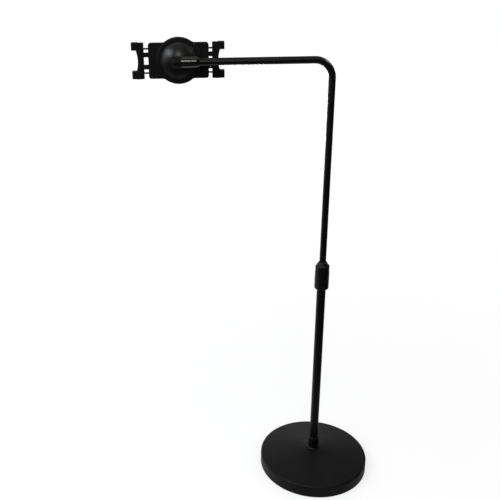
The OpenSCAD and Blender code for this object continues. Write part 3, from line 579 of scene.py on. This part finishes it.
# %% Finish for every node
FINISH_OF_SLOT = {
    "base_shell": foot_black, "tube_paint": tube_black, "cast_paint": cast_black,
    "moulded_black": moulded_black, "dome_black": dome_black, "rubber_black": foam_black,
    "zinc_steel": plated_steel, "dark_steel": blackened_steel, "weight_iron": rough_iron,
    "nylon_white": nylon_natural,
}
FINISH_OF_NODE = {
    "pole_ferrule": ferrule_black, "clutch_grip": clutch_black, "clutch_nose_ring": clutch_black,
}
for row in frame["record"]["subparts"]:
    solid = nodes[row["node"]]
    solid.data.materials.clear()
    solid.data.materials.append(FINISH_OF_NODE.get(row["node"], FINISH_OF_SLOT[row["material_slot"]]))
print(len(nodes), "solids dressed")

# %% [markdown]
# ## Softened edges
#
# Moulded and machined edges are never knife-sharp, so the pieces whose edges show get a small bevel. The
# solids arrive with their faces unjoined, so a Weld comes first. A bevel on every edge of a busy moulding
# would be held back by its smallest hole, because the modifier keeps all bevels as narrow as the tightest
# place allows. So flat faces are joined, a group of Geometry Nodes marks only the rims that lie in named
# planes of the piece, and the bevel takes those. Simple turned pieces bevel every sharp edge. A second
# Weld removes what the bevel squeezed flat, and a Weighted Normal keeps the flat faces flat.

# %% Rims marked by their planes
SHARP = math.radians(38)
PLANE_SLACK = 0.01 * MM


def mark_rims(name, planes):
    """A node group that weighs the sharp edges in planes such as Z51.5, so that the bevel takes them."""
    tree = bpy.data.node_groups.new(name, "GeometryNodeTree")
    for way in ("INPUT", "OUTPUT"):
        tree.interface.new_socket("Geometry", in_out=way, socket_type="NodeSocketGeometry")
    ends = tree.nodes.new("GeometryNodeInputMeshEdgeVertices").outputs
    places = [add_node(tree, "ShaderNodeSeparateXYZ", Vector=ends[key]).outputs
              for key in ("Position 1", "Position 2")]
    chosen = 0.0
    for plane in planes.split():
        axis, height = plane[0], float(plane[1:]) * MM
        offsets = [combine(tree, "SUBTRACT", place[axis], height) for place in places]
        away = [combine(tree, "ABSOLUTE", offset, 0.0) for offset in offsets]
        lies_in = combine(tree, "LESS_THAN", combine(tree, "MAXIMUM", *away), PLANE_SLACK)
        chosen = combine(tree, "MAXIMUM", chosen, lies_in)
    turn = tree.nodes.new("GeometryNodeInputMeshEdgeAngle").outputs["Unsigned Angle"]
    chosen = combine(tree, "MULTIPLY", chosen, combine(tree, "GREATER_THAN", turn, SHARP))
    start, end = tree.nodes.new("NodeGroupInput"), tree.nodes.new("NodeGroupOutput")
    mark = add_node(tree, "GeometryNodeStoreNamedAttribute", {"data_type": "FLOAT", "domain": "EDGE"},
                    Geometry=start.outputs[0], Name="bevel_weight_edge", Value=chosen)
    tree.links.new(mark.outputs["Geometry"], end.inputs[0])
    return tree


print("rims are edges that turn by more than", round(math.degrees(SHARP)), "degrees")

# %% Bevels
WELD_GAP, SQUEEZED_GAP = 0.01 * MM, 0.003 * MM
FLAT_ENOUGH = math.radians(0.1)
BEVEL_STEPS = 2
BEVEL_MM = {
    "front_plate": 0.5, "claw_left": 0.6, "claw_right": 0.6, "clutch_grip": 0.35, "clutch_nose_ring": 0.3,
    "pole_ferrule": 0.5, "arm_collar": 0.4, "tilt_sleeve": 0.35, "sleeve_cap": 0.3, "swivel_dome": 0.35,
    "base_cover": 0.4, "end_washer": 0.2, "upper_tube": 0.3, "lower_tube": 0.3,
}
RIM_PLANES_MM = {
    "front_plate": "Y53.0",
    "claw_left": "Y38.0 Y53.0 Z1033.0 Z1111.0",
    "claw_right": "Y38.0 Y53.0 Z1033.0 Z1111.0",
    "clutch_grip": "Z525.0 Z530.7 Z572.0",
    "clutch_nose_ring": "Z572.0 Z573.8 Z575.3 Z597.0",
    "arm_collar": "X-310.7 X-291.7",
    "tilt_sleeve": "Y26.0 Y30.0 X-311.0 X-345.0",
    "sleeve_cap": "X-333.0",
    "base_cover": "Z1.5 Z48.54 Z51.5",
}


def soften(piece, width_mm, rims):
    """Joins the faces, bevels the rims or every sharp edge, and welds what the bevel squeezed flat."""
    piece.modifiers.new("weld", "WELD").merge_threshold = WELD_GAP
    if rims:
        flat = piece.modifiers.new("flat", "DECIMATE")
        flat.decimate_type = "DISSOLVE"
        flat.angle_limit = FLAT_ENOUGH
        piece.modifiers.new("rims", "NODES").node_group = mark_rims(piece.name + "_rims", rims)
    bevel = piece.modifiers.new("bevel", "BEVEL")
    bevel.width = width_mm * MM
    bevel.segments = BEVEL_STEPS
    bevel.limit_method = "WEIGHT" if rims else "ANGLE"
    bevel.angle_limit = SHARP
    piece.modifiers.new("clean", "WELD").merge_threshold = SQUEEZED_GAP
    piece.modifiers.new("normals", "WEIGHTED_NORMAL").keep_sharp = True


for softened, bevel_mm in BEVEL_MM.items():
    soften(nodes[softened], bevel_mm, RIM_PLANES_MM.get(softened))
print(len(BEVEL_MM), "solids with softened edges,", len(RIM_PLANES_MM), "of them by their rims")

# %% [markdown]
# ## Soft linings
#
# The stand grips with foam: a sheet on the holder's front, an L-shaped strip in each finger, four small
# blocks that brake the rails, and a disc under the foot. All are cut from sheet with a knife, and the cut
# squeezes the rim, so it leans in and ends in a small round. A bevelled box would give a hard, even edge.
# Instead each sheet is built from its outline: ring after ring moves inwards while it climbs a quarter
# circle. The outlines come from the boxes of the solids that the sheets replace, so they lie where the
# solids are.

# %% Outlines and bands of faces
CORNER_STEPS = 8
ROUND_STEPS = 96


def rounded_rectangle(width, height, radius):
    """Points round a rectangle with round corners, about its middle."""
    points = []
    for corner, (side_u, side_v) in enumerate(((1, 1), (-1, 1), (-1, -1), (1, -1))):
        for step in range(CORNER_STEPS + 1):
            angle = math.radians(90 * (corner + step / CORNER_STEPS))
            points.append((side_u * (width / 2 - radius) + radius * math.cos(angle),
                           side_v * (height / 2 - radius) + radius * math.sin(angle)))
    return points


def round_outline(radius, steps=ROUND_STEPS):
    """Points round a circle."""
    return [(radius * math.cos(2 * math.pi * k / steps), radius * math.sin(2 * math.pi * k / steps))
            for k in range(steps)]


def bridge(bm, rings):
    """Joins rings of as many points each by bands of faces."""
    for low, high in zip(rings, rings[1:]):
        for k in range(len(low)):
            after = (k + 1) % len(low)
            bm.faces.new((low[k], low[after], high[after], high[k]))


print("outlines ready, a circle has", ROUND_STEPS, "points")

# %% Sheets cut from an outline
RIM_STEPS = 5
UNDER_CUT = 0.15
TOP_INSET = 2.5


def cut_sheet(bm, outline, thickness, rim, place):
    """A sheet with a squeezed rim. outline(inset) gives its points, place(u, v, height) puts them down."""
    levels = [(UNDER_CUT * rim, 0), (0, UNDER_CUT * rim), (0, thickness - rim)]
    for step in range(1, RIM_STEPS + 1):
        angle = math.radians(90 * step / RIM_STEPS)
        levels.append((rim * (1 - math.cos(angle)), thickness - rim + rim * math.sin(angle)))
    levels.append((TOP_INSET * rim, thickness))
    rings = [[bm.verts.new(place(u, v, height)) for u, v in outline(inset)] for inset, height in levels]
    bridge(bm, rings)
    bm.faces.new(rings[0])
    bm.faces.new(rings[-1])


def finish_piece(name, bm, finish, body, slot, *replaced):
    """Turns a built mesh into a piece that rides on a body and stands for CAD nodes."""
    bmesh.ops.recalc_face_normals(bm, faces=bm.faces)
    mesh = bpy.data.meshes.new(name)
    bm.to_mesh(mesh)
    bm.free()
    mesh.polygons.foreach_set("use_smooth", [True] * len(mesh.polygons))
    mesh.materials.append(finish)
    piece = bpy.data.objects.new(name, mesh)
    scene.collection.objects.link(piece)
    piece.modifiers.new("normals", "WEIGHTED_NORMAL").keep_sharp = True
    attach(piece, body)
    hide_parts(*replaced)
    print(name, "rides on", body, "with", len(mesh.polygons), "faces")
    return piece


# %% Sheets on the holder's front and under the foot
FRONT_CORNER, FRONT_RIM = 8 * MM, 0.6 * MM
FOOT_RIM = 0.9 * MM


def make_front_sheet():
    """The foam on the holder's front, its squeezed rim outwards."""
    low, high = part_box("front_pad")
    middle, size = (low + high) / 2, high - low
    bm = bmesh.new()
    cut_sheet(bm, lambda inset: rounded_rectangle(size.x - 2 * inset, size.z - 2 * inset,
                                                  FRONT_CORNER - inset),
              size.y, FRONT_RIM, lambda u, v, height: (middle.x + u, low.y + height, middle.z + v))
    return finish_piece("front_foam", bm, foam_black, "holder", "rubber_black", "front_pad")


def make_foot_sheet():
    """The disc that keeps the iron off the floor, its squeezed rim downwards."""
    low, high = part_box("foot_pad")
    bm = bmesh.new()
    cut_sheet(bm, lambda inset: round_outline(high.x - inset), high.z - low.z, FOOT_RIM,
              lambda u, v, height: (u, v, high.z - height))
    return finish_piece("foot_foam", bm, foam_black, "stand", "rubber_black", "foot_pad")


for sheet_piece in (make_front_sheet(), make_foot_sheet()):
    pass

# %% [markdown]
# ## Brake blocks
#
# Four small blocks of the same foam sit behind the front plate and press on the rails, so that a claw
# stays where it is pushed. They are cut from thicker sheet, so the same builder makes them, four times in
# one mesh.

# %% Blocks that brake the rails
SHOE_LONG, SHOE_TALL = 9 * MM, 8 * MM
SHOE_CORNER, SHOE_RIM = 1.5 * MM, 0.7 * MM


def make_shoes():
    """Four small blocks behind the front plate, their rims towards the rails."""
    low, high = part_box("brake_shoes")
    bm = bmesh.new()
    for x in (low.x + SHOE_LONG / 2, high.x - SHOE_LONG / 2):
        for z in (low.z + SHOE_TALL / 2, high.z - SHOE_TALL / 2):
            cut_sheet(bm, lambda inset: rounded_rectangle(SHOE_LONG - 2 * inset, SHOE_TALL - 2 * inset,
                                                          SHOE_CORNER - inset),
                      high.y - low.y, SHOE_RIM, lambda u, v, height: (x + u, high.y - height, z + v))
    return finish_piece("brake_foam", bm, foam_black, "holder", "rubber_black", "brake_shoes")


make_shoes()

# %% [markdown]
# ## Finger strips
#
# Each finger is lined by a strip folded into an L, so its edges are soft all round, also along the fold.
# A cut sheet has only one soft rim, so these are drawn as an L-shaped section, pulled upwards, and
# bevelled on every edge.

# %% Strips in the fingers
STRIP_TALL = 14.5 * MM
STRIP_BASE, STRIP_WALL = 1.5 * MM, 1.2 * MM
STRIP_ROUND, STRIP_STEPS = 0.35 * MM, 3
ROUND_PROFILE = 0.5


def make_strips(side, body, outer_is_high):
    """Two L-shaped strips in a claw's fingers."""
    low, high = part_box(side + "_pads")
    inner_x, outer_x = (low.x, high.x) if outer_is_high else (high.x, low.x)
    wall_x = outer_x + (-STRIP_WALL if outer_is_high else STRIP_WALL)
    section = [(inner_x, low.y), (outer_x, low.y), (outer_x, high.y), (wall_x, high.y),
               (wall_x, low.y + STRIP_BASE), (inner_x, low.y + STRIP_BASE)]
    bm = bmesh.new()
    for foot_z in (low.z, high.z - STRIP_TALL):
        rings = [[bm.verts.new((x, y, z)) for x, y in section] for z in (foot_z, foot_z + STRIP_TALL)]
        bridge(bm, rings)
        bm.faces.new(rings[0])
        bm.faces.new(rings[1])
    bmesh.ops.recalc_face_normals(bm, faces=bm.faces)
    bmesh.ops.bevel(bm, geom=bm.edges[:], offset=STRIP_ROUND, segments=STRIP_STEPS, profile=ROUND_PROFILE,
                    affect="EDGES")
    return finish_piece(side + "_foam", bm, foam_black, body, "rubber_black", side + "_pads")


for strips in (make_strips("claw_left", "left_claw", False), make_strips("claw_right", "right_claw", True)):
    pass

# %% [markdown]
# ## Screws
#
# Four cross-head screws close the holder from behind, and a small set screw locks the collar on the arm.
# The solids carry plain heads. Here each screw is turned from a short profile, and its first ring is
# closed by a flat face with the driver's recess cut in. A fill between two loops makes that face in one
# step, where a Boolean would leave slivers.

# %% Screws with a recess
SCREW_SIDES = 32
RECESS_TAPER = 0.7


def cross_outline(length, width):
    """The mouth of a cross recess."""
    far, near = length / 2, width / 2
    quarter = [(far, -near), (far, near), (near, near)]
    points = []
    for turn in range(4):
        for u, v in quarter:
            for _ in range(turn):
                u, v = -v, u
            points.append((u, v))
    return points


def turned_screw(bm, profile, recess, recess_depth, place):
    """A screw from rings of (radius, depth), with a recess that narrows downwards in its first ring."""
    rings = [[bm.verts.new(place(u, v, depth)) for u, v in round_outline(radius, SCREW_SIDES)]
             for radius, depth in profile]
    bridge(bm, rings)
    top = profile[0][1]
    mouth = [bm.verts.new(place(u, v, top)) for u, v in recess]
    bottom = [bm.verts.new(place(RECESS_TAPER * u, RECESS_TAPER * v, top + recess_depth)) for u, v in recess]
    bridge(bm, [mouth, bottom])
    bm.faces.new(bottom)
    bm.faces.new(rings[-1])
    loops = [bm.edges.get((ring[k - 1], ring[k])) for ring in (rings[0], mouth) for k in range(len(ring))]
    bmesh.ops.triangle_fill(bm, edges=loops, use_beauty=True)


print("screws are turned with", SCREW_SIDES, "sides")

# %% Screws of the holder and the collar
HEAD_R, SHANK_R, HEAD_H = 2.9 * MM, 1.5 * MM, 1.9 * MM
HEAD_DOME = [(2.2 * MM, 0.0), (2.55 * MM, 0.12 * MM), (2.8 * MM, 0.4 * MM), (HEAD_R, 0.8 * MM),
             (HEAD_R, HEAD_H)]
CROSS_LONG, CROSS_WIDE, CROSS_DEEP = 3.0 * MM, 0.8 * MM, 1.1 * MM
HEX_SIDES, HEX_R, HEX_DEEP = 6, 1.15 * MM, 1.6 * MM
SET_CHAMFER = 0.35 * MM


def make_holder_screws():
    """Four pan-head screws in the corners of the holder's back, seen from -Y."""
    low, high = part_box("housing_screws")
    profile = HEAD_DOME + [(SHANK_R, HEAD_H), (SHANK_R, high.y - low.y)]
    bm = bmesh.new()
    for x in (low.x + HEAD_R, high.x - HEAD_R):
        for z in (low.z + HEAD_R, high.z - HEAD_R):
            turned_screw(bm, profile, cross_outline(CROSS_LONG, CROSS_WIDE), CROSS_DEEP,
                         lambda u, v, depth: (x + u, low.y + depth, z + v))
    return finish_piece("holder_screws", bm, blackened_steel, "holder", "dark_steel", "housing_screws")


def make_set_screw():
    """The socket screw under the collar, its hexagon downwards."""
    low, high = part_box("collar_screw")
    middle, radius = (low + high) / 2, (high.x - low.x) / 2
    profile = [(radius - SET_CHAMFER, 0.0), (radius, SET_CHAMFER), (radius, high.z - low.z)]
    bm = bmesh.new()
    turned_screw(bm, profile, round_outline(HEX_R, HEX_SIDES), HEX_DEEP,
                 lambda u, v, depth: (middle.x + u, middle.y + v, low.z + depth))
    return finish_piece("collar_set_screw", bm, plated_steel, "mast", "zinc_steel", "collar_screw")


screws = [make_holder_screws(), make_set_screw()]
print("screws:", [screw.name for screw in screws])
